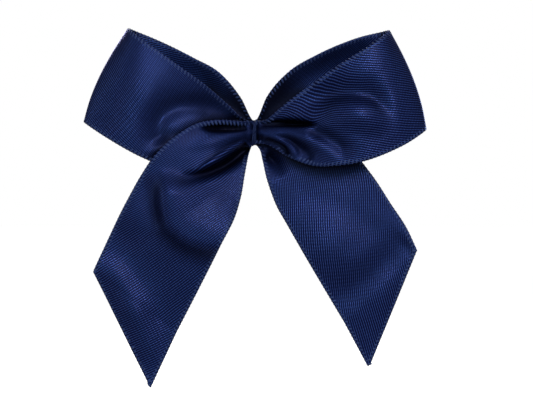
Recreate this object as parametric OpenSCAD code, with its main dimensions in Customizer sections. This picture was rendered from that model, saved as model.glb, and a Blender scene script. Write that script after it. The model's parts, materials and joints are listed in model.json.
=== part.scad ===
// Gathered satin hair bow on a sprung single-prong clip.
// Millimetres. +Z is up as worn, -Y faces the viewer and +Y faces the head.
// The origin is the middle of the clip's grip, straight behind the knot.

/* [Ribbon] */
// Half of the ribbon's gathered height at the knot
waist_half = 1.65; // [1.5:0.05:1.7]
// Thickness of a spread layer of ribbon
ribbon_t = 0.36; // [0.3:0.02:0.4]
// Thickness of a layer where it is gathered at the knot
gather_t = 0.66; // [0.6:0.02:0.68]
// Step from one gathered layer to the next, front to back
layer_step = 0.76; // [0.75:0.01:0.78]
// How far the face of each loop swells forward between its edges
loop_belly = 0.7; // [0:0.1:1]

/* [Knot] */
// Diameter of the binding thread
thread_d = 0.22; // [0.16:0.02:0.24]
// Turns of thread round the knot
thread_turns = 3; // [2:1:3]
// Length of the glue pad along the clip
glue_l = 7; // [5:0.5:9]
// Height of the glue pad
glue_h = 3.4; // [2.5:0.1:3.8]

/* [Clip] */
// Thickness of the spring-steel arms
arm_t = 0.6; // [0.5:0.05:0.6]
// Gap between the closed jaws
jaw_gap = 0.15; // [0.1:0.01:0.2]
// Height of the front arm behind the knot
arm_h = 3.8; // [3:0.1:4]
// Height of the prong
prong_h = 2.4; // [2:0.1:2.6]
// Height of the finger levers
lever_h = 6.4; // [6.3:0.1:7]
// Distance from the hinge to the tip of the front arm
jaw_l = 24.5; // [22:0.5:26]
// Distance from the hinge to the end of the levers
lever_l = 9; // [8:0.5:10]
// Lean of the front lever, towards the bow
front_lean = 8; // [4:1:8]
// Lean of the rear lever, towards the head
rear_lean = 22; // [20:1:26]
// Rows of teeth along the front arm's tip
teeth = 5; // [3:1:6]

/* [Hinge] */
// Distance from the knot to the hinge, along the clip
hinge_x = 9.5; // [9:0.25:10]
// Distance of the hinge behind the grip plane
hinge_y = 1.1; // [1.1:0.05:1.15]
// Radius of the hinge pin
pin_r = 0.6; // [0.5:0.05:0.6]
// Radial clearance of the rear ears on the pin
pin_clear = 0.05; // [0.02:0.01:0.1]
// Wire of the torsion spring
wire_d = 0.32; // [0.26:0.02:0.32]
// Turns of the torsion spring
spring_turns = 5; // [4:1:6]

/* [Hidden] */
$fn = 48;
navy = "#17224A";
steel = "#B9BCC2";
eps = 0.01;

// Depth of the three gathered layers at the knot
front_y = -4.1;
middle_y = front_y + layer_step;
rear_y = middle_y + layer_step;

// Where the stack behind the knot ends
thread_play = 0.06;
bundle_front = front_y - gather_t / 2;
bundle_rear = rear_y + gather_t / 2;
thread_rear = bundle_rear + thread_play + thread_d;
lining_t = 0.35;
arm_inner = -jaw_gap / 2;
arm_outer = arm_inner - arm_t;
lining_outer = arm_outer - lining_t;

// Smooth curve through rows of numbers, with n steps from each row to the next
function ease(a, b, c, d, t) =
    (2 * b + (c - a) * t + (2 * a - 5 * b + 4 * c - d) * t * t + (3 * b - a - 3 * c + d) * t * t * t) / 2;
function smooth_rows(p, n) = [
    for (i = [0 : len(p) - 2])
        for (j = [0 : n - 1])
            ease(p[max(i - 1, 0)], p[i], p[i + 1], p[min(i + 2, len(p) - 1)], j / n),
    p[len(p) - 1]
];
function straight_rows(a, b, n) = [for (j = [1 : n]) a + (b - a) * j / n];

// A ribbon is a row of stations: upper or outer edge, lower or inner edge, swell at mid width, thickness
function flat(s) = [each s[0], each s[1], each s[2], s[3]];
function flat_all(list) = [for (s = list) flat(s)];
function across(r, u) =
    [for (k = [0 : 2]) r[k] + (r[k + 3] - r[k]) * u + r[k + 6] * 4 * u * (1 - u)];
function unit(v) = v / norm(v);
function square_at_knot(p, n) = abs(p.x) < eps ? [0, n.y, n.z] : n;
function normals(g) = [
    for (i = [0 : len(g) - 1])
        [for (j = [0 : len(g[0]) - 1])
            let (
                along = g[min(i + 1, len(g) - 1)][j] - g[max(i - 1, 0)][j],
                over = g[i][min(j + 1, len(g[0]) - 1)] - g[i][max(j - 1, 0)]
            )
            unit(square_at_knot(g[i][j], unit(cross(along, over))))]
];
ribbon_cols = 8;
ribbon_steps = 4;

module ribbon(rows) {
    grid = [for (r = rows) [for (j = [0 : ribbon_cols]) across(r, j / ribbon_cols)]];
    out = normals(grid);
    m = len(rows);
    w = ribbon_cols + 1;
    side = [for (s = [-1, 1]) for (i = [0 : m - 1]) for (j = [0 : w - 1])
        grid[i][j] + s * out[i][j] * rows[i][9] / 2];
    function at(s, i, j) = s * m * w + i * w + j;
    faces = [
        for (i = [0 : m - 2]) for (j = [0 : w - 2]) for (f = [
            [at(0, i, j), at(0, i + 1, j), at(0, i + 1, j + 1)],
            [at(0, i, j), at(0, i + 1, j + 1), at(0, i, j + 1)],
            [at(1, i, j), at(1, i + 1, j + 1), at(1, i + 1, j)],
            [at(1, i, j), at(1, i, j + 1), at(1, i + 1, j + 1)]]) f,
        for (i = [0 : m - 2]) for (f = [
            [at(0, i, 0), at(1, i, 0), at(1, i + 1, 0)],
            [at(0, i, 0), at(1, i + 1, 0), at(0, i + 1, 0)],
            [at(0, i, w - 1), at(1, i + 1, w - 1), at(1, i, w - 1)],
            [at(0, i, w - 1), at(0, i + 1, w - 1), at(1, i + 1, w - 1)]]) f,
        for (j = [0 : w - 2]) for (f = [
            [at(0, 0, j), at(1, 0, j + 1), at(1, 0, j)],
            [at(0, 0, j), at(0, 0, j + 1), at(1, 0, j + 1)],
            [at(0, m - 1, j), at(1, m - 1, j), at(1, m - 1, j + 1)],
            [at(0, m - 1, j), at(1, m - 1, j + 1), at(0, m - 1, j + 1)]]) f
    ];
    polyhedron(side, faces, convexity = 6);
}

// Stations at the knot, where every layer is the same height
collar_x = 0.7;
function knot_station(x, y) = [[x, y, waist_half], [x, y, -waist_half], [0, 0, 0], gather_t];
function flare_station(x, y, up, down) = [[x, y, up], [x, y, -down], [0, 0, 0], (gather_t + ribbon_t) / 2];
puff = [0, -loop_belly, 0];
back_puff = [0, 0.2, 0];

right_loop = [
    knot_station(0, front_y),
    knot_station(collar_x, front_y),
    flare_station(1.7, front_y - 0.35, 1.95, 1.95),
    [[3.7, -5.4, 3.5], [3.3, -5.4, -2.9], puff * 0.4, ribbon_t],
    [[8.2, -7.6, 7.0], [7.4, -7.6, -4.9], puff, ribbon_t],
    [[13.2, -9.2, 10.4], [12.4, -9.3, -5.4], puff, ribbon_t],
    [[17.7, -9.4, 13.2], [18.3, -9.5, -4.4], puff, ribbon_t],
    [[20.6, -8.0, 15.4], [24.4, -8.0, -1.7], [0.3, -0.3, 0], ribbon_t],
    [[21.4, -5.7, 16.2], [27.3, -5.7, 0.4], [0.8, 0, 0.2], ribbon_t],
    [[20.2, -3.5, 16.1], [24.9, -3.5, -0.6], [0.4, 0.2, 0], ribbon_t],
    [[15.9, -2.7, 14.9], [18.5, -2.7, -2.2], back_puff, ribbon_t],
    [[10.0, -2.5, 12.4], [12.0, -2.5, -3.0], back_puff, ribbon_t],
    [[5.3, -2.5, 9.6], [6.8, -2.5, -3.0], back_puff, ribbon_t],
    [[2.0, -2.5, 5.8], [2.8, -2.5, -2.4], [0, 0, 0], ribbon_t],
    flare_station(1.3, rear_y, 3.3, 1.9),
    knot_station(collar_x, rear_y),
    knot_station(0, rear_y)
];

left_loop = [
    knot_station(0, middle_y),
    knot_station(-collar_x, middle_y),
    flare_station(-1.6, middle_y - 0.15, 2.1, 2.1),
    [[-3.6, -4.6, 3.8], [-3.6, -3.9, -3.1], [0, 0, 0], ribbon_t],
    [[-7.0, -6.6, 6.9], [-7.0, -4.8, -4.7], puff * 0.4, ribbon_t],
    [[-12.0, -8.7, 10.5], [-12.0, -6.2, -5.9], puff * 0.6, ribbon_t],
    [[-16.5, -9.4, 13.8], [-17.4, -8.3, -4.3], puff, ribbon_t],
    [[-19.3, -8.0, 15.9], [-23.6, -8.1, -0.8], [-0.2, -0.3, 0], ribbon_t],
    [[-20.0, -5.7, 16.5], [-27.1, -5.7, 1.6], [-0.8, 0, 0.2], ribbon_t],
    [[-18.9, -3.6, 16.2], [-24.4, -3.6, 0.3], [-0.4, 0.2, 0], ribbon_t],
    [[-14.5, -2.8, 14.4], [-18.0, -2.8, -2.0], back_puff, ribbon_t],
    [[-9.8, -2.6, 12.0], [-12.0, -2.6, -3.4], back_puff, ribbon_t],
    [[-5.5, -2.5, 9.5], [-7.0, -2.5, -3.6], back_puff, ribbon_t],
    [[-2.2, -2.5, 5.6], [-2.8, -2.5, -2.6], [0, 0, 0], ribbon_t],
    flare_station(-1.3, rear_y, 3.3, 1.9),
    knot_station(-collar_x, rear_y),
    knot_station(0, rear_y)
];

// Each tail leaves the knot through a shoulder that is fixed, and bends across its width below that
left_shoulder = [
    knot_station(0, front_y),
    knot_station(-collar_x, front_y),
    flare_station(-1.5, front_y - 0.4, 1.9, 2.0),
    [[-3.9, -5.7, 2.2], [-1.2, -5.0, -3.4], [0, 0, 0], ribbon_t],
    [[-8.4, -7.2, 1.4], [-1.3, -6.0, -5.6], [0, -0.3, 0], ribbon_t],
    [[-12.8, -8.4, -1.0], [-1.7, -7.0, -8.3], [0, -0.3, 0], ribbon_t],
    [[-15.9, -9.1, -4.0], [-2.3, -8.2, -11.0], [0, -0.2, 0], ribbon_t],
    [[-17.6, -9.0, -6.4], [-3.1, -9.0, -13.6], [0, 0, 0], ribbon_t]
];
left_tail = [
    [[-17.8, -9.0, -6.8], [-3.3, -9.0, -14.0], [0, 0, 0], ribbon_t],
    [[-20.0, -8.6, -10.8], [-5.4, -8.6, -18.2], [0, -0.3, 0], ribbon_t],
    [[-22.7, -7.8, -16.2], [-8.7, -7.8, -24.8], [0, -0.4, 0], ribbon_t],
    [[-25.4, -7.0, -22.1], [-12.2, -7.0, -31.6], [0, -0.3, 0], ribbon_t]
];
left_tip = [[-16.8, -6.0, -39.8], [-16.4, -6.0, -40.5], [0, 0, 0], ribbon_t];

right_shoulder = [
    knot_station(0, middle_y),
    knot_station(collar_x, middle_y),
    flare_station(1.5, middle_y - 0.1, 1.9, 2.2),
    [[3.8, -3.9, 2.3], [1.4, -3.7, -3.9], [0, 0, 0], ribbon_t],
    [[8.0, -4.2, 1.8], [1.7, -4.1, -6.4], [0, 0, 0], ribbon_t],
    [[12.6, -4.6, -0.6], [2.6, -4.5, -9.4], [0, 0, 0], ribbon_t],
    [[16.0, -4.9, -3.4], [3.6, -4.8, -11.9], [0, 0, 0], ribbon_t],
    [[18.3, -5.1, -6.3], [4.7, -5.1, -13.9], [0, 0, 0], ribbon_t]
];
right_tail = [
    [[18.6, -5.1, -6.7], [5.0, -5.1, -14.3], [0, 0, 0], ribbon_t],
    [[21.8, -5.2, -11.5], [8.1, -5.2, -19.8], [0, -0.3, 0], ribbon_t],
    [[24.1, -5.4, -15.0], [11.1, -5.4, -24.9], [0, -0.4, 0], ribbon_t],
    [[25.9, -5.6, -18.8], [14.3, -5.6, -30.3], [0, -0.3, 0], ribbon_t]
];
right_tip = [[18.6, -6.0, -36.7], [18.1, -6.0, -37.4], [0, 0, 0], ribbon_t];

module ribbon_left_loop()
    color(navy) ribbon(smooth_rows(flat_all(left_loop), ribbon_steps));

module ribbon_right_loop()
    color(navy) ribbon(smooth_rows(flat_all(right_loop), ribbon_steps));

module ribbon_left_shoulder()
    color(navy) ribbon(smooth_rows(flat_all(left_shoulder), ribbon_steps));

module ribbon_right_shoulder()
    color(navy) ribbon(smooth_rows(flat_all(right_shoulder), ribbon_steps));

// A tail's end is cut straight on the slant, from its last full-width station to the tip
module cut_tail(stations, tip) {
    last = flat(stations[len(stations) - 1]);
    ribbon(concat(smooth_rows(flat_all(stations), ribbon_steps), straight_rows(last, flat(tip), ribbon_steps)));
}

module ribbon_left_tail()
    color(navy) cut_tail(left_tail, left_tip);

module ribbon_right_tail()
    color(navy) cut_tail(right_tail, right_tip);

// A rectangle with rounded corners, standing in the YZ plane and centred on x = 0
module upright_slab(y0, y1, half_z, r, width) {
    translate([-width / 2, 0, 0])
        rotate([90, 0, 90])
            linear_extrude(width) {
                translate([y0, -half_z + r])
                    square([y1 - y0, 2 * (half_z - r)]);
                translate([y0 + r, -half_z])
                    square([y1 - y0 - 2 * r, 2 * half_z]);
                for (y = [y0 + r, y1 - r], z = [r - half_z, half_z - r])
                    translate([y, z])
                        circle(r);
            }
}

module binding_thread() {
    inner_half = waist_half + 2 * thread_play;
    y0 = bundle_front - thread_play;
    y1 = bundle_rear + thread_play;
    pitch = thread_d + 0.02;
    color(navy)
        for (i = [0 : thread_turns - 1])
            translate([(i - (thread_turns - 1) / 2) * pitch, 0, 0])
                difference() {
                    upright_slab(y0 - thread_d, y1 + thread_d, inner_half + thread_d, 0.3, thread_d);
                    upright_slab(y0, y1, inner_half, 0.08, 2 * thread_d);
                }
}

module glue_pad() {
    y0 = thread_rear + 0.01;
    color("#D8D2C0")
        upright_slab(y0, lining_outer, glue_h / 2, 0.3, glue_l);
}

// A flat outline in the XZ plane, extruded from depth y0 to depth y1
module plate(y0, y1)
    translate([0, y1, 0])
        rotate([90, 0, 0])
            linear_extrude(y1 - y0)
                children();

lining_end = 4.5;
module clip_lining() {
    start = hinge_x - jaw_l + 0.6;
    r = arm_h / 2 - 0.2;
    color(navy)
        plate(lining_outer, arm_outer) {
            translate([start + r, -r])
                square([lining_end - start - r, 2 * r]);
            translate([start + r, 0])
                circle(r);
        }
}

// Ears that stand back from an arm on both sides of the spring, with the pin's hole
module ears(inner_z, thick, ear_r, web_y, reach_x) {
    for (s = [-1, 1])
        translate([0, 0, s * (inner_z + thick / 2) - thick / 2])
            linear_extrude(thick) {
                translate([hinge_x, hinge_y])
                    circle(ear_r);
                y_low = min(web_y, hinge_y);
                translate([hinge_x - reach_x, y_low])
                    square([2 * reach_x, abs(web_y - hinge_y)]);
            }
}

rear_ear_in = 1.9;
ear_t = 0.5;
front_ear_in = rear_ear_in + ear_t + 0.15;
front_ear_out = front_ear_in + ear_t;
bridge_x = 3;

module lever_plate(lean, root_y, thick) {
    l = lever_l - bridge_x;
    r = 1.6;
    translate([hinge_x + bridge_x, root_y, 0])
        rotate([0, 0, lean])
            plate(0, thick) {
                translate([-0.1, -lever_h / 2])
                    square([l - r + 0.1, lever_h]);
                translate([l - r - 0.1, -lever_h / 2 + r])
                    square([r + 0.1, lever_h - 2 * r]);
                for (z = [-lever_h / 2 + r, lever_h / 2 - r])
                    translate([l - r, z])
                        circle(r);
            }
}

module front_teeth() {
    pitch = 1.1;
    tip_y = arm_inner + 0.65;
    for (s = [-1, 1], i = [0 : teeth - 1])
        translate([hinge_x - jaw_l + 2 + i * pitch, 0, s * (arm_h / 2 - 0.2) - 0.2])
            linear_extrude(0.4)
                polygon([[0, arm_inner - 0.05], [pitch * 0.9, arm_inner - 0.05], [pitch * 0.45, tip_y]]);
}

module clip_front_arm() {
    tip_x = hinge_x - jaw_l;
    flare_x = hinge_x - 4.5;
    web_x = hinge_x - 2;
    color(steel)
        difference() {
            union() {
                plate(arm_outer, arm_inner) {
                    translate([tip_x + arm_h / 2, 0])
                        circle(arm_h / 2);
                    polygon([
                        [tip_x + arm_h / 2, -arm_h / 2], [flare_x, -arm_h / 2], [web_x, -front_ear_out],
                        [hinge_x + bridge_x, -front_ear_out], [hinge_x + bridge_x, front_ear_out],
                        [web_x, front_ear_out], [flare_x, arm_h / 2], [tip_x + arm_h / 2, arm_h / 2]]);
                }
                ears(front_ear_in, ear_t, 1.45, arm_outer + 0.2, 1.45);
                lever_plate(-front_lean, arm_outer, arm_t);
                front_teeth();
            }
            translate([hinge_x, hinge_y, -front_ear_out - 1])
                cylinder(r = pin_r, h = 2 * front_ear_out + 2);
        }
}

module clip_rear_arm() {
    tip_x = hinge_x - jaw_l + 1;
    prong_y = -arm_inner;
    web_y = hinge_y + 1.25;
    ramp_a = hinge_x - 5.5;
    ramp_b = hinge_x - 2.8;
    r = prong_h / 2;
    half = rear_ear_in + ear_t;
    color(steel)
        difference() {
            union() {
                // prong
                plate(prong_y, prong_y + arm_t) {
                    translate([tip_x + r, 0])
                        circle(r);
                    translate([tip_x + r, -r])
                        square([ramp_a - tip_x - r, prong_h]);
                }
                // ramp back to the web behind the spring
                translate([0, 0, -r])
                    linear_extrude(prong_h)
                        polygon([
                            [ramp_a - 0.1, prong_y], [ramp_a + 0.1, prong_y], [ramp_b + 0.1, web_y],
                            [ramp_b + 0.1, web_y + arm_t], [ramp_b - 0.2, web_y + arm_t],
                            [ramp_a - 0.1, prong_y + arm_t]]);
                plate(web_y, web_y + arm_t)
                    translate([ramp_b, -half])
                        square([hinge_x + bridge_x - ramp_b, 2 * half]);
                ears(rear_ear_in, ear_t, 1.1, web_y + 0.1, 1.1);
                lever_plate(rear_lean, web_y, arm_t);
            }
            translate([hinge_x, hinge_y, -half - 1])
                cylinder(r = pin_r + pin_clear, h = 2 * half + 2);
        }
}

module hinge_pin() {
    head_r = pin_r + 0.4;
    head_h = 0.3;
    color(steel)
        translate([hinge_x, hinge_y, 0]) {
            cylinder(r = pin_r, h = 2 * front_ear_out, center = true);
            for (s = [-1, 1])
                translate([0, 0, s * (front_ear_out + head_h / 2)])
                    cylinder(r = head_r, h = head_h, center = true);
        }
}

// Round wire swept along a list of points, as one closed tube
module wire(path, r, sides) {
    n = len(path);
    along = [for (i = [0 : n - 1]) unit(path[min(i + 1, n - 1)] - path[max(i - 1, 0)])];
    pts = [
        for (i = [0 : n - 1])
            let (a = unit(cross(along[i], [0.01, 0.02, 1])), b = cross(along[i], a))
            for (k = [0 : sides - 1])
                path[i] + r * (a * cos(360 * k / sides) + b * sin(360 * k / sides))
    ];
    faces = concat(
        [for (i = [0 : n - 2], k = [0 : sides - 1]) let (l = (k + 1) % sides)
            [i * sides + k, i * sides + l, (i + 1) * sides + l, (i + 1) * sides + k]],
        [[for (k = [sides - 1 : -1 : 0]) k]],
        [[for (k = [0 : sides - 1]) (n - 1) * sides + k]]
    );
    polyhedron(pts, faces, convexity = 8);
}

module torsion_spring() {
    coil_r = pin_r + 0.14 + wire_d / 2;
    pitch = 0.48;
    steps = 16;
    half = spring_turns * pitch / 2;
    leg = 6;
    // the coil starts under the front leg and ends over the rear leg, half a turn further on
    turns = spring_turns + 0.5;
    front_leg = [for (x = [leg, leg / 2, 0.6]) [hinge_x + x, hinge_y - coil_r - x * 0.03, -half]];
    coil = [for (i = [0 : turns * steps])
        let (a = -90 - 360 * i / steps)
        [hinge_x + coil_r * cos(a), hinge_y + coil_r * sin(a), -half + i * 2 * half / (turns * steps)]];
    rear_leg = [for (x = [0.6, leg / 2, leg]) [hinge_x + x, hinge_y + coil_r + x * 0.02, half]];
    color(steel)
        wire(concat(front_leg, coil, rear_leg), wire_d / 2, 6);
}

ribbon_left_loop();
ribbon_right_loop();
ribbon_left_shoulder();
ribbon_right_shoulder();
ribbon_left_tail();
ribbon_right_tail();
binding_thread();
glue_pad();
clip_lining();
clip_front_arm();
clip_rear_arm();
hinge_pin();
torsion_spring();
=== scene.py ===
import json
import math

import bpy
import numpy as np
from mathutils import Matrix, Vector


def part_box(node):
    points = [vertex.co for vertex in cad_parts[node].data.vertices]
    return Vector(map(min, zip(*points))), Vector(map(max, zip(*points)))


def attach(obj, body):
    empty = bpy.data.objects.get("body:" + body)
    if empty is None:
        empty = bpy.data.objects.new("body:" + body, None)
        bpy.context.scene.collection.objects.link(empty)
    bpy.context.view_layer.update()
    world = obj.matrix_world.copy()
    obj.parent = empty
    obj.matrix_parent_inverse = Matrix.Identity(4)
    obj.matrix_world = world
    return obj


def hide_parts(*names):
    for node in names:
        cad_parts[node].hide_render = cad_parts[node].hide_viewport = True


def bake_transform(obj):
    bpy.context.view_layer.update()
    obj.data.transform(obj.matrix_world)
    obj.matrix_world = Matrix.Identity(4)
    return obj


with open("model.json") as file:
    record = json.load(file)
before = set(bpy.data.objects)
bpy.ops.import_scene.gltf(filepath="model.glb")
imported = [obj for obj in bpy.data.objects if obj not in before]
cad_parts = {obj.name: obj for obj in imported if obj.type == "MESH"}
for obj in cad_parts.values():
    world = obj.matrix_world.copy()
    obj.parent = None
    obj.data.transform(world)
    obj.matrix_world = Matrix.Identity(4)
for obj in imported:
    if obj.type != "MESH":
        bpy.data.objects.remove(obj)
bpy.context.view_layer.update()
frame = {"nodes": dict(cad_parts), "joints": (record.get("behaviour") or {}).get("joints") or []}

# Shapes are worked out in millimetres, with the viewer towards -Y, and MM turns them into metres.
MM = 0.001
RIBBON_WIDTH = 16.0
CLOTH_T = 0.22
TWILL_LEAN = 28.0      # degrees between the twill's lines and the ribbon's length
TWILL_PITCH = 0.345    # from one line of the twill to the next
FLOAT_PITCH = 0.52     # from one float to the next along a line
SATIN_DARK = (0.0002, 0.0007, 0.013)
SATIN_LIGHT = (0.026, 0.056, 0.225)

# ---------------------------------------------------------------- ribbon route
# A station is the upper (outer) edge, the lower (inner) edge, and the lines between them.
# Each line is (share of the way down, forward, outward).
# Forward is towards the viewer, and outward is away from the knot.
# The route runs left tail, front of the knot, right loop, back of the knot, left loop,
# middle of the knot, right tail.
LINE_U = (0.0, 0.27, 0.52, 0.76, 1.0)


def swell(forward, outward=0.0):
    """The three inner lines of a stretch that bulges evenly, most along its middle."""
    return tuple((u, k * forward, k * outward) for u, k in zip(LINE_U[1:4], (0.75, 1.0, 0.75)))


FLAT = swell(0.0)


def knot(y):
    """The pleated cross-section that all three layers share where the thread holds them."""
    return ((0, y, 1.85), (0, y, -1.85), ((0.24, -0.6, 0), (0.5, 0.15, 0), (0.77, -0.6, 0)))


KNOT_FRONT = knot(-3.95)
KNOT_MIDDLE = knot(-3.47)
KNOT_REAR = knot(-3.0)

LEFT_TAIL = [
    ((-25.4, -7.0, -22.1), (-12.3, -7.0, -31.7), swell(0.3)),
    ((-22.7, -7.8, -16.1), (-8.8, -7.8, -24.9), swell(0.4)),
    ((-20.0, -8.6, -10.8), (-5.4, -8.6, -18.2), swell(0.5)),
    ((-17.7, -9.0, -6.7), (-3.1, -8.8, -13.6), swell(0.6)),
    ((-15.6, -9.2, -3.7), (-2.1, -8.0, -10.2), ((0.25, 0.2, 0), (0.52, 0.5, 0), (0.8, 0.0, 0))),
    ((-12.4, -8.7, -0.7), (-1.6, -6.9, -7.2), ((0.22, 0.1, 0), (0.5, 0.6, 0), (0.78, -0.3, 0))),
    ((-8.6, -7.6, 1.45), (-1.2, -5.9, -4.9), ((0.22, 0.0, 0), (0.48, 0.6, 0), (0.76, -0.4, 0))),
    ((-5.0, -6.4, 1.9), (-0.9, -5.0, -3.3), ((0.24, -0.1, 0), (0.48, 0.4, 0), (0.74, -0.3, 0))),
    ((-2.0, -4.9, 1.75), (-0.5, -4.3, -2.3), ((0.25, -0.4, 0), (0.5, 0.2, 0), (0.77, -0.4, 0))),
]
LEFT_TIP = ((-16.8, -7.6, -39.8), (-16.4, -7.6, -40.5), FLAT)

RIGHT_LOOP = [
    ((1.7, -4.7, 1.9), (1.9, -4.5, -1.9), ((0.26, -0.4, 0), (0.53, 0.2, 0), (0.80, -0.4, 0))),
    ((3.7, -5.5, 3.5), (3.4, -5.2, -2.7), ((0.42, -0.2, 0), (0.62, 0.3, 0), (0.85, -0.2, 0))),
    ((5.8, -6.5, 5.2), (5.7, -6.2, -4.1), ((0.46, -0.1, 0), (0.64, 0.3, 0), (0.85, -0.1, 0))),
    ((8.3, -7.6, 7.0), (8.6, -7.3, -5.2), ((0.49, 0.1, 0), (0.66, 0.4, 0), (0.85, 0.1, 0))),
    ((13.2, -9.0, 10.4), (12.8, -8.9, -5.4), ((0.34, 0.4, 0), (0.58, 0.7, 0), (0.80, 0.4, 0))),
    ((17.7, -9.2, 13.2), (18.3, -9.4, -4.4), swell(0.6)),
    ((20.5, -8.0, 15.3), (24.2, -8.1, -1.8), swell(0.4, 0.3)),
    ((21.4, -5.7, 16.2), (27.3, -5.7, 0.4), swell(0.0, 0.9)),
    ((20.2, -3.6, 16.1), (24.9, -3.6, -0.6), swell(-0.2, 0.4)),
    ((15.9, -4.6, 14.9), (18.5, -2.8, -2.2), ((0.2, -1.5, 0), (0.5, -0.7, 0), (0.76, -0.3, 0))),
    ((10.0, -4.6, 12.4), (12.0, -2.6, -3.0), ((0.2, -1.6, 0), (0.5, -0.8, 0), (0.76, -0.3, 0))),
    ((5.3, -3.8, 9.6), (6.8, -2.7, -3.0), ((0.25, -1.0, 0), (0.52, -0.5, 0), (0.78, 0.2, 0))),
    ((2.0, -3.2, 5.8), (2.8, -2.8, -2.4), ((0.34, -0.5, 0), (0.58, 0.4, 0), (0.8, -0.5, 0))),
]

LEFT_LOOP = [
    ((-2.2, -3.1, 5.6), (-2.8, -2.8, -2.6), ((0.34, -0.5, 0), (0.58, 0.4, 0), (0.8, -0.5, 0))),
    ((-5.5, -3.6, 9.5), (-7.0, -2.7, -3.6), ((0.25, -0.8, 0), (0.52, -0.4, 0), (0.78, 0.2, 0))),
    ((-9.8, -3.6, 12.0), (-12.0, -2.7, -3.4), ((0.2, -0.8, 0), (0.5, -0.4, 0), (0.76, -0.2, 0))),
    ((-14.5, -2.9, 14.4), (-18.0, -2.9, -2.0), swell(-0.2)),
    ((-18.9, -3.7, 16.2), (-24.4, -3.7, 0.3), swell(-0.2, 0.4)),
    ((-20.0, -5.7, 16.5), (-27.1, -5.7, 1.6), swell(0.0, 0.9)),
    ((-19.3, -8.0, 15.8), (-23.6, -8.1, -0.8), swell(0.4, 0.3)),
    ((-16.6, -9.3, 13.7), (-17.5, -8.2, -4.2), swell(0.7)),
    ((-12.0, -8.8, 10.4), (-12.0, -6.4, -5.9), swell(0.5)),
    ((-7.0, -6.7, 6.8), (-7.0, -4.9, -4.7), ((0.3, -0.2, 0), (0.52, 0.3, 0), (0.76, 0, 0))),
    ((-4.0, -5.1, 4.2), (-4.2, -4.2, -3.3), ((0.28, -0.7, 0), (0.5, 0.3, 0), (0.76, -0.4, 0))),
    ((-1.8, -4.0, 2.2), (-1.9, -3.7, -2.1), ((0.26, -1.0, 0), (0.5, 0.3, 0), (0.77, -0.8, 0))),
]

RIGHT_TAIL = [
    ((1.6, -3.7, 2.0), (0.8, -3.6, -2.6), ((0.26, -0.8, 0), (0.5, 0.3, 0), (0.77, -0.8, 0))),
    ((4.4, -4.2, 2.3), (1.3, -3.9, -4.4), ((0.28, -0.5, 0), (0.52, 0.2, 0), (0.77, -0.7, 0))),
    ((8.4, -4.5, 1.6), (1.8, -4.2, -6.8), ((0.3, -0.2, 0), (0.55, 0.2, 0), (0.8, -0.5, 0))),
    ((12.6, -4.7, -0.6), (2.6, -4.5, -9.4), swell(0.2)),
    ((16.0, -4.9, -3.4), (3.6, -4.8, -11.9), swell(0.3)),
    ((18.5, -5.1, -6.5), (4.9, -5.1, -14.2), swell(0.4)),
    ((21.8, -5.2, -11.5), (8.1, -5.2, -19.8), swell(0.5)),
    ((24.1, -5.4, -15.0), (11.1, -5.4, -24.9), swell(0.4)),
    ((25.9, -5.6, -18.8), (14.3, -5.6, -30.3), swell(0.3)),
]
RIGHT_TIP = ((18.6, -5.0, -36.7), (18.1, -5.0, -37.4), FLAT)


def lines_of(station):
    """A station's five points, from the upper edge to the lower."""
    upper, lower, inner = station
    a, b = np.array(upper, float), np.array(lower, float)
    pts = [a]
    for share, forward, outward in inner:
        p = a + (b - a) * share
        side = math.copysign(1.0, p[0]) if abs(p[0]) > 0.01 else 0.0
        pts.append(p + np.array([side * outward, -forward, 0.0]))
    pts.append(b)
    return np.array(pts)


def curve_through(rows, params, at):
    """Smooth curve (Catmull-Rom with its own spacing) through rows at params, read at each value of at."""
    rows, params = np.asarray(rows, float), np.asarray(params, float)
    slope = np.empty_like(rows)
    step = np.diff(params)
    shape = (-1,) + (1,) * (rows.ndim - 1)
    rise = np.diff(rows, axis=0) / step.reshape(shape)
    w0, w1 = step[1:].reshape(shape), step[:-1].reshape(shape)
    slope[1:-1] = (rise[:-1] * w0 + rise[1:] * w1) / (w0 + w1)
    slope[0], slope[-1] = rise[0], rise[-1]
    i = np.clip(np.searchsorted(params, at, side="right") - 1, 0, len(params) - 2)
    h = step[i].reshape(shape)
    t = ((at - params[i]) / step[i]).reshape(shape)
    return (
        (2 * t**3 - 3 * t**2 + 1) * rows[i]
        + (t**3 - 2 * t**2 + t) * h * slope[i]
        + (-2 * t**3 + 3 * t**2) * rows[i + 1]
        + (t**3 - t**2) * h * slope[i + 1]
    )


def distance_along(points):
    """Distance from the first point of a line to each of its points."""
    return np.concatenate([[0], np.cumsum(np.linalg.norm(np.diff(points, axis=0), axis=1))])


route = LEFT_TAIL + [KNOT_FRONT] + RIGHT_LOOP + [KNOT_REAR] + LEFT_LOOP + [KNOT_MIDDLE] + RIGHT_TAIL
route_rows = np.array([lines_of(s) for s in route])
route_at = distance_along(route_rows[:, 2])
i_front = len(LEFT_TAIL)
i_rear = i_front + 1 + len(RIGHT_LOOP)
i_middle = i_rear + 1 + len(LEFT_LOOP)

ALONG_STEP = 0.25
CUT_STEP = 2.2 * ALONG_STEP
COLUMNS = 56
column_u = np.linspace(0, 1, COLUMNS + 1)


def strip(i0, i1):
    """Grid of points of the ribbon between two stations."""
    n = max(2, int(round((route_at[i1] - route_at[i0]) / ALONG_STEP)))
    rows = curve_through(route_rows, route_at, np.linspace(route_at[i0], route_at[i1], n + 1))
    return np.stack([curve_through(r, LINE_U, column_u) for r in rows])


def cut_end(last_row, tip, tip_first):
    """The slanted end: from the last full-width row, lines that slide down the cut to the tip."""
    tip_row = curve_through(lines_of(tip), LINE_U, column_u)
    n = int(round(np.linalg.norm(last_row[0] - tip_row[0]) / CUT_STEP))
    rows = np.array([last_row + (tip_row - last_row) * t for t in np.linspace(0, 1, n + 1)[1:]])
    return rows[::-1] if tip_first else rows


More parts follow.
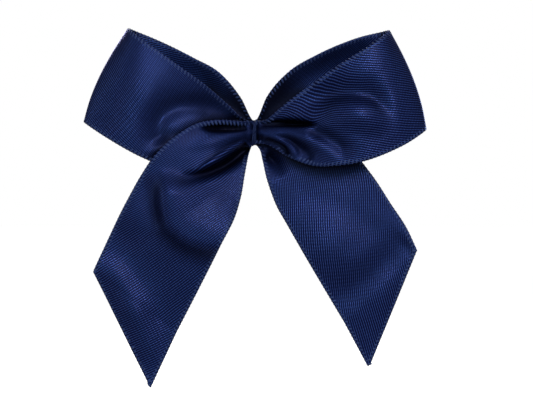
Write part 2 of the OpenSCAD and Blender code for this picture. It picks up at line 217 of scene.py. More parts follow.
left_tail_grid = strip(0, i_front)
left_cut = cut_end(left_tail_grid[0], LEFT_TIP, True)
left_tail_grid = np.concatenate([left_cut, left_tail_grid])
right_loop_grid = strip(i_front, i_rear)
left_loop_grid = strip(i_rear, i_middle)
right_tail_grid = strip(i_middle, len(route) - 1)
right_cut = cut_end(right_tail_grid[-1], RIGHT_TIP, False)
right_tail_grid = np.concatenate([right_tail_grid, right_cut])


# ---------------------------------------------------------------- folds and pleats
def smoothstep(a, b, x):
    """0 below a, 1 above b, and a soft rise in between."""
    t = np.clip((x - a) / (b - a), 0, 1)
    return t * t * (3 - 2 * t)


def side_of_path(grid, path):
    """How far each point of a face lies to the left of a path of (x, z) points, and its share of the way."""
    path = np.array(path, float)
    at = distance_along(path)
    path = curve_through(path, at, np.linspace(0, at[-1], 48))
    flat = grid[..., [0, 2]]
    nearest = np.full(flat.shape[:2], np.inf)
    share = np.zeros_like(nearest)
    turn = np.zeros_like(nearest)
    for k in range(len(path) - 1):
        seg = path[k + 1] - path[k]
        rel = flat - path[k]
        t = np.clip((rel @ seg) / (seg @ seg), 0, 1)
        off = rel - t[..., None] * seg
        d = np.linalg.norm(off, axis=2)
        closer = d < nearest
        nearest = np.where(closer, d, nearest)
        share = np.where(closer, (k + t) / (len(path) - 1), share)
        turn = np.where(closer, seg[0] * off[..., 1] - seg[1] * off[..., 0], turn)
    return np.where(turn > 0, nearest, -nearest), share


def fold(grid, mask, path, height, above, below, fade, power=2.0, pointed=False):
    """Move a face forward by height along a path of (x, z) points. A height under 0 makes a hollow.

    above and below are the fold's half widths on either side, and fade is the share of the path over which
    it grows at its start and dies away at its end. A pointed fold also narrows towards its ends.
    """
    side, share = side_of_path(grid, path)
    if path[-1][0] < path[0][0]:
        side = -side
    width = np.where(side > 0, above, below)
    if pointed:
        width = width * (0.15 + 0.85 * np.sqrt(np.sin(math.pi * np.clip(share, 0.02, 0.98))))
    amount = np.exp(-(np.abs(side / width) ** power))
    amount *= smoothstep(0, fade[0], share) * smoothstep(0, fade[1], 1 - share)
    grid[..., 1] -= height * amount * mask


def bulge(grid, mask, centre, radii, tilt, height):
    """A soft round swelling, with its long axis tilted by tilt degrees."""
    c, s = math.cos(math.radians(tilt)), math.sin(math.radians(tilt))
    dx, dz = grid[..., 0] - centre[0], grid[..., 2] - centre[1]
    q = ((dx * c + dz * s) / radii[0]) ** 2 + ((dz * c - dx * s) / radii[1]) ** 2
    grid[..., 1] -= height * np.clip(1 - q, 0, 1) ** 2 * mask


def rows_mask(grid, first, last, soft=0.08):
    """1 over the rows between two shares of the piece's length, and 0 outside them."""
    share = np.linspace(0, 1, len(grid))
    return (smoothstep(first - soft, first, share) * smoothstep(-last - soft, -last, -share))[:, None]


def off_knot(grid):
    """0 under the thread and 1 beside it, so that the pleats stay as they are where the thread holds them."""
    return smoothstep(0.25, 1.0, np.abs(grid[..., 0]))


# the two dark slots beside the knot
LENS = [(-0.9, 0.75), (-3.0, 0.72), (-5.4, 0.7), (-7.2, 0.62), (-8.8, 0.4)]
SLOT = [(0.9, 1.15), (3.0, 1.35), (5.5, 1.35), (8.0, 1.2), (10.4, 1.0)]

# Front of the left tail: its slot, the band below it, and a ridge with a deep hollow under it.
tail, face = left_tail_grid, off_knot(left_tail_grid)
fold(tail, face, LENS, -3.2, 0.6, 0.75, (0.1, 0.3), 3.0, pointed=True)
fold(tail, face, [(-0.9, -0.1), (-4.5, -0.9), (-7.0, -1.6), (-9.5, -2.2), (-13.0, -3.2)],
     0.5, 1.4, 0.9, (0.1, 0.6))
fold(tail, face, [(-1.0, -1.2), (-3.6, -2.5), (-5.5, -3.8), (-7.3, -5.1), (-9.5, -6.3), (-12.0, -7.3)],
     1.0, 0.3, 1.5, (0.1, 0.45))
fold(tail, face, [(-0.9, -1.9), (-2.4, -3.3), (-4.3, -4.75), (-6.7, -6.0), (-10.2, -7.1), (-13.0, -7.7)],
     -2.5, 0.7, 1.15, (0.03, 0.5), 2.6)
# then a broad fold that curves round below them, with a hollow along its outer foot
fold(tail, face, [(-13.3, -5.6), (-13.8, -8.4), (-13.8, -11.4), (-12.9, -14.4), (-10.4, -16.5),
                  (-6.8, -17.6), (-2.0, -18.0)],
     2.2, 4.7, 1.9, (0.22, 0.1))
fold(tail, face, [(-15.2, -6.8), (-15.9, -9.6), (-15.6, -12.8), (-14.2, -15.6)], -0.7, 1.3, 1.6, (0.3, 0.3))
bulge(tail, face, (-19.6, -12.0), (4.0, 6.5), 25, 0.4)
# and the long ridge that runs down to the tip
fold(tail, face, [(-26.5, -20.5), (-22.2, -23.6), (-19.4, -27.6), (-17.8, -32.0), (-16.9, -39.0)],
     1.7, 2.8, 3.2, (0.04, 0.55))

# Front of the right loop: its slot, two ridges out of the knot, the hollows round them, and the broad oval.
loop, face = right_loop_grid, off_knot(right_loop_grid) * rows_mask(right_loop_grid, 0.0, 0.36)
fold(loop, face, SLOT, -3.2, 0.65, 0.55, (0.1, 0.35), 3.0, pointed=True)
fold(loop, face, [(0.4, -0.1), (3.6, 0.05), (6.2, -0.4), (9.4, -1.8), (11.3, -3.3), (13.2, -4.8)],
     0.8, 0.9, 0.8, (0.05, 0.5))
fold(loop, face, [(1.0, -0.7), (2.9, -1.0), (4.9, -1.75), (6.2, -3.0), (6.7, -4.6)],
     0.7, 0.55, 0.5, (0.1, 0.2))
fold(loop, face, [(3.2, -0.6), (5.4, -1.05), (7.6, -2.7), (9.4, -4.6)], -0.7, 0.75, 0.8, (0.25, 0.1))
fold(loop, face, [(8.0, 0.35), (11.2, -0.7), (13.6, -2.4), (15.4, -4.6)], -1.1, 1.3, 1.1, (0.25, 0.3))
fold(loop, face, [(1.4, -1.3), (3.2, -1.75), (4.7, -2.6), (5.5, -4.2)], -2.2, 0.5, 0.5, (0.15, 0.35), 2.6)
fold(loop, face, [(6.0, 3.0), (9.6, 4.9), (14.2, 6.0), (18.6, 5.4), (21.6, 3.2), (22.4, 0.2)],
     -1.5, 2.4, 1.6, (0.35, 0.2))
bulge(loop, face, (16.8, 2.6), (6.2, 3.6), -12, 0.9)

# Front of the left loop: one dark arc, and room for the left tail's slot in front of it.
loop, face = left_loop_grid, off_knot(left_loop_grid) * rows_mask(left_loop_grid, 0.64, 1.0)
fold(loop, face, [(-2.6, 2.7), (-6.0, 3.7), (-9.6, 4.3), (-12.6, 3.9), (-14.6, 2.6), (-15.4, 0.9),
                  (-15.2, -0.8), (-14.5, -2.6)],
     -1.3, 1.9, 1.8, (0.3, 0.12))
fold(loop, face, LENS, -1.0, 1.2, 1.2, (0.1, 0.4))

# Right tail: room for the right loop's slot, a pleat out of the knot, a soft swelling and a shallow hollow.
tail, face = right_tail_grid, off_knot(right_tail_grid)
fold(tail, face, SLOT, -0.8, 1.2, 1.2, (0.1, 0.4))
fold(tail, face, [(1.6, -3.2), (3.4, -4.9), (5.0, -6.8)], -1.0, 0.9, 0.9, (0.2, 0.6))
bulge(tail, face, (11.5, -19.0), (10.5, 8.5), -30, 1.1)
fold(tail, face, [(10.0, -26.5), (15.0, -24.5), (20.5, -21.0), (25.0, -17.0)], -0.5, 2.6, 2.6, (0.3, 0.1))


def ripple(grid, seed, height, waves=9, shortest=3.5, longest=9.0):
    """The slight unevenness of soft ribbon: a few long low waves in no set direction."""
    rng = np.random.default_rng(seed)
    total = np.zeros(grid.shape[:2])
    for _ in range(waves):
        angle = rng.uniform(0, 2 * math.pi)
        length = rng.uniform(shortest, longest)
        phase = rng.uniform(0, 2 * math.pi)
        run = grid[..., 0] * math.cos(angle) + grid[..., 2] * math.sin(angle) + 0.7 * grid[..., 1]
        total += np.sin(2 * math.pi * run / length + phase) * length / longest
    grid[..., 1] += height * total / 3 * off_knot(grid)


ripple(left_tail_grid, 11, 0.06)
ripple(right_loop_grid, 12, 0.05)
ripple(left_loop_grid, 13, 0.05)
ripple(right_tail_grid, 14, 0.06)


# ---------------------------------------------------------------- keep the layers clear of each other
CELL = 0.2
SPAN_X, SPAN_Z = (-30.0, 30.0), (-42.0, 20.0)
CELLS_X, CELLS_Z = (int((high - low) / CELL) + 1 for low, high in (SPAN_X, SPAN_Z))


def cells(x, z):
    """The squares of a depth table that hold the points at x and z."""
    ix = np.clip(((x - SPAN_X[0]) / CELL).round().astype(int), 0, CELLS_X - 1)
    iz = np.clip(((z - SPAN_Z[0]) / CELL).round().astype(int), 0, CELLS_Z - 1)
    return ix, iz


def face_map(grid, rows, keep):
    """The depth of a face over the XZ plane, as a table of CELL squares; keep is np.minimum or np.maximum."""
    table = np.full((CELLS_X, CELLS_Z), np.inf if keep is np.minimum else -np.inf)
    part = grid[rows]
    dense = []
    for a in (0.0, 0.5):
        for b in (0.0, 0.33, 0.67):
            top = part[:-1, :-1] * (1 - b) + part[:-1, 1:] * b
            bottom = part[1:, :-1] * (1 - b) + part[1:, 1:] * b
            dense.append((top * (1 - a) + bottom * a).reshape(-1, 3))
    dense = np.concatenate(dense)
    keep.at(table, cells(dense[:, 0], dense[:, 2]), dense[:, 1])
    for axis in (0, 1):
        for shift in (1, -1):
            table = keep(table, np.roll(table, shift, axis))
    return table


def hold_in_front(front, front_rows, behind, behind_rows, gap):
    """Push a face forward wherever it comes nearer than gap to the face behind it."""
    table = face_map(behind, behind_rows, np.minimum)
    part = front[front_rows]
    room = table[cells(part[..., 0], part[..., 2])] - gap - part[..., 1]
    short = np.where(np.isfinite(room), np.maximum(-room, 0), 0) * off_knot(part)
    for _ in range(3):
        # let the push die away into the points next to it
        padded = np.pad(short, 1, mode="edge")
        near = (padded[:-2, 1:-1] + padded[2:, 1:-1] + padded[1:-1, :-2] + padded[1:-1, 2:]) / 4
        short = np.maximum(short, near)
    front[front_rows] = part - short[..., None] * np.array([0.0, 1.0, 0.0])


FOLD_ROWS = 30      # rows left out on either side of a loop's outer fold, where its two layers meet
half_right, half_left = len(right_loop_grid) // 2, len(left_loop_grid) // 2
right_front, right_rear = slice(0, half_right - FOLD_ROWS), slice(half_right + FOLD_ROWS, None)
left_rear, left_front = slice(0, half_left - FOLD_ROWS), slice(half_left + FOLD_ROWS, None)
all_rows = slice(None)
hold_in_front(left_loop_grid, left_front, left_loop_grid, left_rear, 0.35)
hold_in_front(right_tail_grid, all_rows, right_loop_grid, right_rear, 0.3)
hold_in_front(right_loop_grid, right_front, right_loop_grid, right_rear, 0.35)
hold_in_front(right_loop_grid, right_front, right_tail_grid, all_rows, 0.35)
hold_in_front(left_tail_grid, all_rows, left_loop_grid, left_front, 0.35)
hold_in_front(left_tail_grid, all_rows, left_loop_grid, left_rear, 0.35)

PUFF = 0.3
PUFF_ROWS = 12


def puff_round_thread(grid, rows):
    """The ribbon swells on both sides of the thread that draws it in."""
    x, z = grid[rows][..., 0], grid[rows][..., 2]
    grid[rows, :, 1] -= PUFF * np.exp(-(((np.abs(x) - 0.8) / 0.4) ** 2)) * np.clip(1 - (z / 2.0) ** 2, 0, 1)


puff_round_thread(left_tail_grid, slice(len(left_tail_grid) - PUFF_ROWS, None))
puff_round_thread(right_loop_grid, slice(0, PUFF_ROWS))


# ---------------------------------------------------------------- how much light reaches the folds, for the painted shade in the satin's colour
ribbon_grids = {
    "left_tail": left_tail_grid,
    "right_loop": right_loop_grid,
    "left_loop": left_loop_grid,
    "right_tail": right_tail_grid,
}
nearest_face = np.minimum.reduce([face_map(g, all_rows, np.minimum) for g in ribbon_grids.values()])
furthest_face = np.maximum.reduce([face_map(g, all_rows, np.maximum) for g in ribbon_grids.values()])

SKY_DIRECTIONS = 12
SKY_REACHES = (0.45, 0.8, 1.3, 2.0, 3.2, 4.6)
SKY_CLEARANCE = 0.15     # steps lower than this cast no shade
DEEPEST_FOLD = 2.6       # the highest step that counts in full
PLEAT_ENDS = (3.8, 5.0)  # steps count less from the first height, and not at all from the second


def openness(points, outward):
    """How much of the sky each point sees past the folds round it: 0 deep in a pleat, and 1 in the open."""
    facing_viewer = outward[:, 1] < 0
    total = np.zeros(len(points))
    for k in range(SKY_DIRECTIONS):
        angle = 2 * math.pi * k / SKY_DIRECTIONS
        steepest = np.zeros(len(points))
        for reach in SKY_REACHES:
            at = cells(points[:, 0] + reach * math.cos(angle), points[:, 2] + reach * math.sin(angle))
            over = np.where(facing_viewer, points[:, 1] - nearest_face[at], furthest_face[at] - points[:, 1])
            over = np.where(np.isfinite(over), over, 0)
            # a layer that lies well clear shades by itself, and isn't the side of a pleat
            same_pleat = 1 - smoothstep(*PLEAT_ENDS, over)
            rise = np.minimum(over - SKY_CLEARANCE, DEEPEST_FOLD) * same_pleat
            steepest = np.maximum(steepest, rise / reach)
        total += 1 / (1 + steepest**2)
    return total / SKY_DIRECTIONS


# painted shade inside the loops, darker where their layers close at the knot
# Each loop's two layers are closed up to one distance from the knot and stand clear beyond another.
LOOP_CLOSED_TO = 2.0
LOOP_CLEAR_AT = {"right_loop": 9.0, "left_loop": 5.5}
LOOP_DIMMEST = 0.35      # the share of light where they are closed


def loop_painted_shade(piece, grid, outward):
    """The share of light that gets in between a loop's two layers, which close on each other at the knot:
    painted shade, darker towards the knot.
    """
    row, half = np.arange(len(grid)), len(grid) // 2
    rear = row > half if piece == "right_loop" else row < half
    inner_face = np.tile(np.repeat(rear, grid.shape[1]), 2) & (outward[:, 1] < 0)
    clear = smoothstep(LOOP_CLOSED_TO, LOOP_CLEAR_AT[piece], np.abs(grid[..., 0].reshape(-1)))
    return np.where(inner_face, np.tile(LOOP_DIMMEST + (1 - LOOP_DIMMEST) * clear, 2), 1.0)


# ---------------------------------------------------------------- materials
def feed(tree, socket, value):
    """Give a socket a number or a colour, or link it to another node's output."""
    if isinstance(value, bpy.types.NodeSocket):
        tree.links.new(value, socket)
    elif socket.type == "RGBA":
        socket.default_value = (*value, 1.0)
    else:
        socket.default_value = value


def feed_all(tree, n, inputs):
    """Feed a node's inputs, each by its name."""
    for name, value in inputs.items():
        feed(tree, n.inputs[name], value)


def node(tree, kind, inputs=None, **settings):
    n = tree.nodes.new(kind)
    for key, value in settings.items():
        setattr(n, key, value)
    feed_all(tree, n, inputs or {})
    return n


def material(name):
    mat = bpy.data.materials.new(name)
    mat.use_nodes = True
    tree = mat.node_tree
    return mat, tree, tree.nodes["Principled BSDF"]


def maths(tree, op, *values):
    n = node(tree, "ShaderNodeMath", operation=op)
    for socket, value in zip(n.inputs, values):
        feed(tree, socket, value)
    return n.outputs[0]


def sum_of(tree, base, value, gain):
    """base + gain * value"""
    return maths(tree, "ADD", base, maths(tree, "MULTIPLY", value, gain))


def mix_colour(tree, factor, a, b):
    inputs = {"Factor": factor, "A": a, "B": b}
    return node(tree, "ShaderNodeMix", inputs, data_type="RGBA").outputs["Result"]


def noise(tree, vector, scale, detail):
    inputs = {"Vector": vector, "Scale": scale, "Detail": detail}
    return node(tree, "ShaderNodeTexNoise", inputs).outputs[0]


def stretched(tree, vector, scale):
    return node(tree, "ShaderNodeMapping", {"Vector": vector, "Scale": scale}).outputs[0]


def bump(tree, height, strength, distance):
    inputs = {"Strength": strength, "Distance": distance * MM, "Height": height}
    return node(tree, "ShaderNodeBump", inputs).outputs[0]


def object_coordinates(tree):
    return node(tree, "ShaderNodeTexCoord").outputs["Object"]


WANDER = 0.22             # how far the twill's lines stray sideways
CREST_POWER = 4.0         # a higher power leaves narrower bright crests
FLOAT_DIP = 0.22          # half of what a float loses in brightness at its ends
# painted shade: the satin's colour darkens towards the next colour deep in the pleats
PAINTED_PLEAT_SHADE = (0.0, 0.0, 0.001)
PAINTED_SHADE_RANGE = (0.35, 0.97)     # openness at which the satin is black, and at which it keeps its whole colour
PAINTED_SHADE_POWER = 1.5


def satin_weave(tree, uv):
    """Height of the woven surface, from 0 in the gaps to 1 on the crests of the threads."""
    parts = node(tree, "ShaderNodeSeparateXYZ", {"Vector": uv})
    # the lines wander a little, as woven ones do
    u = sum_of(tree, parts.outputs[0], noise(tree, uv, 0.35, 2.0), WANDER)
    v = parts.outputs[1]
    lean = math.radians(TWILL_LEAN)
    # twill lines, leaning off the ribbon's length
    across = sum_of(tree, maths(tree, "MULTIPLY", u, math.cos(lean)), v, -math.sin(lean))
    line = maths(tree, "SINE", maths(tree, "MULTIPLY", across, 2 * math.pi / TWILL_PITCH))
    # the end of each float, along its line
    down = sum_of(tree, maths(tree, "MULTIPLY", u, math.sin(lean)), v, math.cos(lean))
    float_end = maths(tree, "SINE", maths(tree, "MULTIPLY", down, 2 * math.pi / FLOAT_PITCH))
    # threads are bright along their crests, with narrow dark gaps between: the twill's pattern, with painted
    # sheen on the crests and painted shade in the gaps
    crest = maths(tree, "POWER", sum_of(tree, 0.5, line, 0.5), CREST_POWER)
    return maths(tree, "MULTIPLY", crest, sum_of(tree, 1 - FLOAT_DIP, float_end, FLOAT_DIP))


def satin():
    mat, tree, bsdf = material("navy_satin")
    uv = node(tree, "ShaderNodeUVMap", uv_map="weave").outputs[0]
    weave = satin_weave(tree, uv)
    streak = noise(tree, stretched(tree, uv, (5.0, 0.35, 1.0)), 1.0, 3.0)
    lightness = maths(tree, "MULTIPLY", weave, sum_of(tree, 0.6, streak, 0.8))
    lightness = node(tree, "ShaderNodeClamp", {"Value": lightness}).outputs[0]
    # the twill's pattern in the colour, with painted sheen on the thread crests and painted shade in the gaps
    colour = mix_colour(tree, lightness, SATIN_DARK, SATIN_LIGHT)
    # painted shade: the base colour darkens deep in the pleats, where light is lost
    seen = node(tree, "ShaderNodeAttribute", attribute_name="openness").outputs["Fac"]
    inputs = {"Value": seen, "From Min": PAINTED_SHADE_RANGE[0], "From Max": PAINTED_SHADE_RANGE[1]}
    painted_lit_share = maths(tree, "POWER", node(tree, "ShaderNodeMapRange", inputs).outputs[0], PAINTED_SHADE_POWER)
    threads = bump(tree, weave, 0.65, 0.03)
    feed_all(tree, bsdf, {
        "Base Color": mix_colour(tree, painted_lit_share, PAINTED_PLEAT_SHADE, colour),
        # the gaps between the threads don't shine
        "Roughness": sum_of(tree, sum_of(tree, 0.53, streak, 0.12), weave, -0.34),
        "Metallic": 0.5,
        "Specular IOR Level": 0.3,
        "Specular Tint": (0.25, 0.32, 1.0),
        "Coat Weight": 0.035,
        "Coat Roughness": 0.34,
        "Normal": threads,
        "Coat Normal": threads,
    })
    return mat


def yarn(name, dark, light):
    mat, tree, bsdf = material(name)
    fibres = noise(tree, object_coordinates(tree), 6000.0, 2.0)
    feed_all(tree, bsdf, {
        "Base Color": mix_colour(tree, fibres, dark, light),
        "Roughness": 0.55,
        "Specular Tint": (0.3, 0.45, 0.9),
    })
    return mat


def metal(name, tone, roughness):
    """Metal with a fine drawn grain."""
    mat, tree, bsdf = material(name)
    grain = noise(tree, stretched(tree, object_coordinates(tree), (300.0, 300.0, 6000.0)), 1.0, 4.0)
    feed_all(tree, bsdf, {
        "Base Color": mix_colour(tree, grain, tuple(0.8 * c for c in tone), tone),
        "Roughness": sum_of(tree, roughness, grain, 0.15),
        "Metallic": 1.0,
    })
    return mat


def hot_melt():
    """Cloudy glue with a slightly uneven surface."""
    mat, tree, bsdf = material("hot_melt")
    cloud = noise(tree, object_coordinates(tree), 700.0, 3.0)
    feed_all(tree, bsdf, {
        "Base Color": mix_colour(tree, cloud, (0.50, 0.47, 0.38), (0.72, 0.70, 0.62)),
        "Roughness": sum_of(tree, 0.22, cloud, 0.2),
        "Normal": bump(tree, cloud, 0.4, 0.06),
    })
    return mat


satin_mat = satin()
stitch_mat = yarn("selvedge_stitch", (0.003, 0.006, 0.026), (0.029, 0.045, 0.135))
thread_mat = yarn("binding_yarn", (0.0006, 0.0015, 0.010), (0.005, 0.010, 0.055))
lining_mat = yarn("grosgrain_yarn", (0.002, 0.004, 0.018), (0.011, 0.019, 0.07))
glue_mat = hot_melt()
steel = metal("nickel_plate", (0.62, 0.63, 0.66), 0.22)
pin_steel = metal("pin_rod", (0.55, 0.56, 0.59), 0.18)
wire_steel = metal("spring_wire", (0.40, 0.41, 0.44), 0.28)


# ---------------------------------------------------------------- meshes
def new_object(name, verts, faces, mat):
    mesh = bpy.data.meshes.new(name)
    mesh.from_pydata([tuple(v) for v in np.asarray(verts) * MM], [], faces)
    mesh.validate()
    mesh.update()
    mesh.polygons.foreach_set("use_smooth", [True] * len(mesh.polygons))
    mesh.materials.append(mat)
    obj = bpy.data.objects.new(name, mesh)
    bpy.context.scene.collection.objects.link(obj)
    return obj


def two_sided_faces(rows, columns):
    """Faces of a thin closed sheet whose front points come first, row by row, and then its back points."""
    a = np.arange(rows * columns).reshape(rows, columns)
    b = a + rows * columns
    faces = []
    for i in range(rows - 1):
        for j in range(columns - 1):
            faces.append((a[i, j], a[i + 1, j], a[i + 1, j + 1], a[i, j + 1]))
            faces.append((b[i, j], b[i, j + 1], b[i + 1, j + 1], b[i + 1, j]))
        faces.append((a[i, 0], b[i, 0], b[i + 1, 0], a[i + 1, 0]))
        faces.append((a[i, -1], a[i + 1, -1], b[i + 1, -1], b[i, -1]))
    for j in range(columns - 1):
        faces.append((a[0, j], a[0, j + 1], b[0, j + 1], b[0, j]))
        faces.append((a[-1, j], b[-1, j], b[-1, j + 1], a[-1, j + 1]))
    return [tuple(int(k) for k in f) for f in faces]


def tube_faces(rings, sides, closed):
    """Faces of a tube of equal rings of points, joined into a loop if it is closed and capped if it isn't."""
    faces = []
    for i in range(rings if closed else rings - 1):
        i2 = (i + 1) % rings
        for k in range(sides):
            k2 = (k + 1) % sides
            faces.append((i * sides + k, i * sides + k2, i2 * sides + k2, i2 * sides + k))
    if not closed:
        faces.append(tuple(range(sides - 1, -1, -1)))
        faces.append(tuple((rings - 1) * sides + k for k in range(sides)))
    return faces


TUBE_ASIDE = (0.13, 0.09, 1.0)      # any direction that a tube's path doesn't start along exactly


def tube_points(path, radius, sides, closed):
    """Rings of points round each point of a path, for a tube of one radius."""
    path = np.asarray(path, float)
    ahead = np.roll(path, -1, axis=0) - np.roll(path, 1, axis=0)
    if not closed:
        ahead[0], ahead[-1] = path[1] - path[0], path[-1] - path[-2]
    ahead /= np.linalg.norm(ahead, axis=1, keepdims=True)
    across = np.cross(ahead, TUBE_ASIDE)
    across /= np.linalg.norm(across, axis=1, keepdims=True)
    for k in range(1, len(path)):
        # carry the frame along, so that the tube doesn't twist
        v = across[k - 1] - ahead[k] * np.dot(across[k - 1], ahead[k])
        across[k] = v / np.linalg.norm(v)
    up = np.cross(ahead, across)
    turn = 2 * math.pi * np.arange(sides) / sides
    ring = across[:, None] * np.cos(turn)[None, :, None] + up[:, None] * np.sin(turn)[None, :, None]
    return (path[:, None] + radius * ring).reshape(-1, 3)


def boxy(value, power):
    """A sine or cosine for a rounded rectangle: a power of 1 makes an ellipse, and less is squarer."""
    return math.copysign(abs(value) ** power, value)


# ---------------------------------------------------------------- ribbon pieces
def grid_normals(grid):
    n = np.cross(np.gradient(grid, axis=0), np.gradient(grid, axis=1))
    return n / np.maximum(np.linalg.norm(n, axis=2, keepdims=True), 1e-9)


SMOOTHED_ROWS = 24      # the ribbon's width is averaged over this many rows on either side


def ribbon_millimetres(grid, start):
    """Where each point lies on the flat ribbon: across it, and along it from its first end."""
    steps = np.linalg.norm(np.diff(grid, axis=0), axis=2).mean(axis=1)
    along = start + np.concatenate([[0], np.cumsum(steps)])
    share = np.arange(grid.shape[1]) / (grid.shape[1] - 1) - 0.5
    # gathered threads crowd together, and elsewhere they keep their spacing
    width = np.linalg.norm(np.diff(grid, axis=1), axis=2).sum(axis=1)
    window = np.hanning(2 * SMOOTHED_ROWS + 1)
    width = np.convolve(np.pad(width, SMOOTHED_ROWS, mode="edge"), window / window.sum(), mode="valid")
    across = share[None, :] * np.maximum(width, RIBBON_WIDTH)[:, None] + RIBBON_WIDTH / 2
    return across, np.broadcast_to(along[:, None], grid.shape[:2]).copy()


def straighten_cut(grid, across, along, cut, last_full, inner, sign):
    """Carry the weave straight on from the last full row, through the rows of a slanted cut end."""
    corner = grid[last_full, 0]
    side = grid[last_full, -1] - corner
    width = np.linalg.norm(side)
    side /= width
    ahead = (grid[last_full] - grid[inner]).mean(axis=0)
    ahead -= side * (ahead @ side)
    ahead /= np.linalg.norm(ahead)
    rel = grid[cut] - corner
    across[cut] = across[last_full, 0] + rel @ side / width * (across[last_full, -1] - across[last_full, 0])
    along[cut] = along[last_full, 0] + sign * (rel @ ahead)


# For each tail, the rows of its slanted cut, the full row next to them and one a little further in,
# and 1 or -1 as the ribbon's length runs out to the cut or in from it.
ROWS_IN = 8
first_full, last_full = len(left_cut), len(right_tail_grid) - 1 - len(right_cut)
CUT_ENDS = {
    "left_tail": (slice(0, first_full), first_full, first_full + ROWS_IN, -1),
    "right_tail": (slice(last_full + 1, None), last_full, last_full - ROWS_IN, 1),
}

EDGE_T = 0.45         # the cloth's thickness at its very edge, as a share of its whole thickness
EDGE_SLOPE = 2.0      # how much of the whole it gains in a millimetre, going inwards


def satin_sheet(piece, grid, start):
    """A closed thin sheet on both sides of the grid, with its weave and its painted shade from the folds."""
    rows, columns = grid.shape[:2]
    out = grid_normals(grid)
    edge = np.minimum(np.arange(columns), np.arange(columns)[::-1]) / (columns - 1) * RIBBON_WIDTH
    half = (CLOTH_T / 2 * np.clip(EDGE_T + edge * EDGE_SLOPE, 0, 1))[None, :, None]
    verts = np.concatenate([(grid + out * half).reshape(-1, 3), (grid - out * half).reshape(-1, 3)])
    outward = np.concatenate([out.reshape(-1, 3), -out.reshape(-1, 3)])
    obj = new_object("ribbon_satin_" + piece, verts, two_sided_faces(rows, columns), satin_mat)

    # UVs in ribbon millimetres, x across and y along, so that the weave runs on from piece to piece
    across, along = ribbon_millimetres(grid, start)
    if piece in CUT_ENDS:
        straighten_cut(grid, across, along, *CUT_ENDS[piece])
    uv = np.stack([np.tile(across.reshape(-1), 2), np.tile(along.reshape(-1), 2)], axis=1)
    layer = obj.data.uv_layers.new(name="weave")
    corners = np.empty(len(obj.data.loops), dtype=np.int64)
    obj.data.loops.foreach_get("vertex_index", corners)
    layer.data.foreach_set("uv", uv[corners].astype(np.float32).reshape(-1))

    # painted shade from the folds and inside the loops, kept as an attribute that darkens the satin's colour
    seen = openness(verts, outward)
    if piece in LOOP_CLEAR_AT:
        seen = seen * loop_painted_shade(piece, grid, outward)
    shade = obj.data.attributes.new("openness", "FLOAT", "POINT")
    shade.data.foreach_set("value", seen.astype(np.float32))
    return obj


STITCH_PITCH = 0.64
STITCH_LENGTH = 0.95
STITCH_HALF_WIDTH, STITCH_HALF_T = 0.23, 0.15
STITCH_INSET = 0.37                # from the ribbon's edge to a stitch's middle
STITCH_SLANT = (0.94, 0.34)        # how far a stitch runs inwards, and along the edge
BEAD_RINGS, BEAD_SIDES = 5, 8


def bead_points(centre, long, wide, thick):
    """Points of a rounded bead from tip to tip; long, wide and thick are its half sizes, as directions."""
    points = [centre - long]
    for r in range(1, BEAD_RINGS):
        a = math.pi * r / BEAD_RINGS
        for q in range(BEAD_SIDES):
            b = 2 * math.pi * q / BEAD_SIDES
            points.append(
                centre
                - long * math.cos(a)
                + wide * math.sin(a) * math.cos(b)
                + thick * math.sin(a) * math.sin(b)
            )
    points.append(centre + long)
    return points


def bead_faces(base):
    """Faces of a bead whose points start at number base."""
    faces = []
    last = base + 1 + (BEAD_RINGS - 1) * BEAD_SIDES
    last_ring = last - BEAD_SIDES
    for q in range(BEAD_SIDES):
        q2 = (q + 1) % BEAD_SIDES
        faces.append((base, base + 1 + q2, base + 1 + q))
        for a in range(base + 1, last_ring, BEAD_SIDES):
            faces.append((a + q, a + q2, a + BEAD_SIDES + q2, a + BEAD_SIDES + q))
        faces.append((last, last_ring + q, last_ring + q2))
    return faces


def stitches(piece, grid):
    """Rounded selvedge stitches over both edges, slanting inwards."""
    out = grid_normals(grid)
    verts, faces = [], []
    for col, inner in ((0, 1), (grid.shape[1] - 1, grid.shape[1] - 2)):
        edge = grid[:, col]
        dist = distance_along(edge)
        count = int(dist[-1] / STITCH_PITCH)
        for k in range(count):
            d = (k + 0.5) * dist[-1] / count
            on_edge = np.array([np.interp(d, dist, edge[:, c]) for c in range(3)])
            i = int(np.clip(np.searchsorted(dist, d), 1, len(dist) - 1))
            ahead = edge[i] - edge[i - 1]
            ahead /= np.linalg.norm(ahead)
            side = np.cross(out[i, col], ahead)
            side /= np.linalg.norm(side)
            if np.dot(side, grid[i, inner] - grid[i, col]) < 0:
                side = -side
            slant = side * STITCH_SLANT[0] + ahead * STITCH_SLANT[1]
            faces += bead_faces(len(verts))
            verts += bead_points(
                on_edge + side * STITCH_INSET,
                slant * STITCH_LENGTH / 2,
                ahead * STITCH_HALF_WIDTH,
                out[i, col] * STITCH_HALF_T,
            )
    return new_object("ribbon_selvedge_" + piece, verts, faces, stitch_mat)


def mean_length(grid):
    return float(np.linalg.norm(np.diff(grid, axis=0), axis=2).sum(axis=0).mean())


ribbon_pieces = {}
start = 0.0
for name, grid in ribbon_grids.items():
    ribbon_pieces[name] = (satin_sheet(name, grid, start), stitches(name, grid))
    start += mean_length(grid)

joints = {j["name"]: j for j in frame["joints"]}


for side in ("left", "right"):
    for piece in ribbon_pieces[side + "_tail"]:
        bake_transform(piece)
    for piece in ribbon_pieces[side + "_loop"]:
        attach(piece, "bow")

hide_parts("ribbon_left_shoulder", "ribbon_left_tail")
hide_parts("ribbon_right_shoulder", "ribbon_right_tail")
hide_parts("ribbon_left_loop")
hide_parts("ribbon_right_loop")

